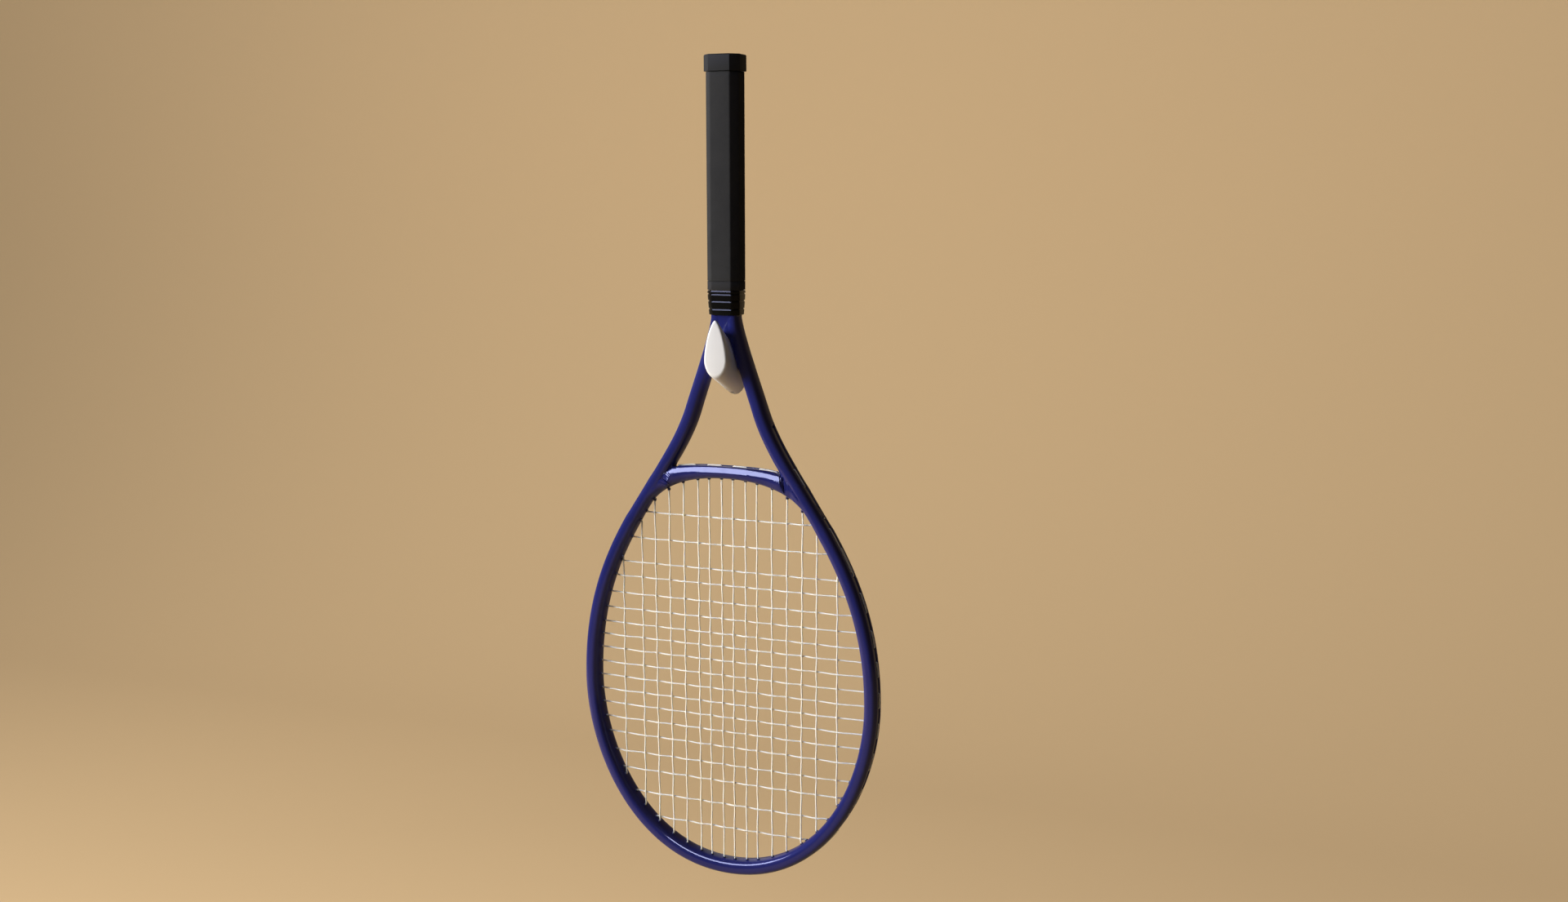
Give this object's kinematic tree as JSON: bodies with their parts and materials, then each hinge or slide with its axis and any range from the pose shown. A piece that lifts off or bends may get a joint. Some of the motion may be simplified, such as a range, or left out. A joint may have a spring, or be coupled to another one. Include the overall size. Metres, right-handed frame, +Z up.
{
  "type": "wall racket rack",
  "caption": "Teardrop wall peg that holds a tennis racket by its open throat, with the strung racket hung on it handle up and parallel to the wall.",
  "frame": {"origin": "centre of the wall bracket's back face, on the wall plane", "axes": "+X to the right seen from the front, +Y into the wall, +Z up; the racket hangs below and above the peg in a plane parallel to the wall"},
  "size_m": [0.2674, 0.0703, 0.6854],
  "materials": {
    "frame_lacquer": "glossy blue lacquer over carbon composite",
    "grommet_nylon": "satin dark blue nylon",
    "string": "smooth off-white string",
    "pallet_foam": "moulded rigid foam",
    "grip": "matt black wrapped grip",
    "tape": "satin black vinyl tape",
    "rubber": "ribbed black rubber",
    "cap_plastic": "matt black moulding",
    "peg_white": "satin white moulding",
    "bracket_plastic": "grey moulding",
    "plug_plastic": "grey nylon",
    "steel": "zinc-plated steel",
    "brass": "plain brass"
  },
  "bodies": {
    "wall_peg": {"peg_shell": "peg_white", "wall_bracket": "bracket_plastic", "lock_screw": "steel", "threaded_insert": "brass", "wall_screw_upper": "steel", "wall_screw_lower": "steel", "wall_plug_upper": "plug_plastic", "wall_plug_lower": "plug_plastic"},
    "racket": {"frame": "frame_lacquer", "bumper_strip": "grommet_nylon", "grommet_strip_left": "grommet_nylon", "grommet_strip_right": "grommet_nylon", "grommet_strip_throat": "grommet_nylon", "main_string": "string", "cross_string": "string", "handle_pallet": "pallet_foam", "grip_wrap": "grip", "finishing_tape": "tape", "grip_collar": "rubber", "butt_cap": "cap_plastic", "cap_staple_front_left": "steel", "cap_staple_front_right": "steel", "cap_staple_rear_left": "steel", "cap_staple_rear_right": "steel"},
    "trapdoor": {"butt_trapdoor": "cap_plastic"}
  },
  "joints": [
    {"name": "racket_lift", "type": "slide", "parent": "wall_peg", "child": "racket", "axis": [0, -0.7962, 0.6051], "range_m": [0, 0.05]},
    {"name": "trapdoor_hinge", "type": "hinge", "parent": "racket", "child": "trapdoor", "pos_m": [0, -0.0123, 0.2532], "axis": [-1, 0, 0], "range_deg": [0, 90]}
  ]
}
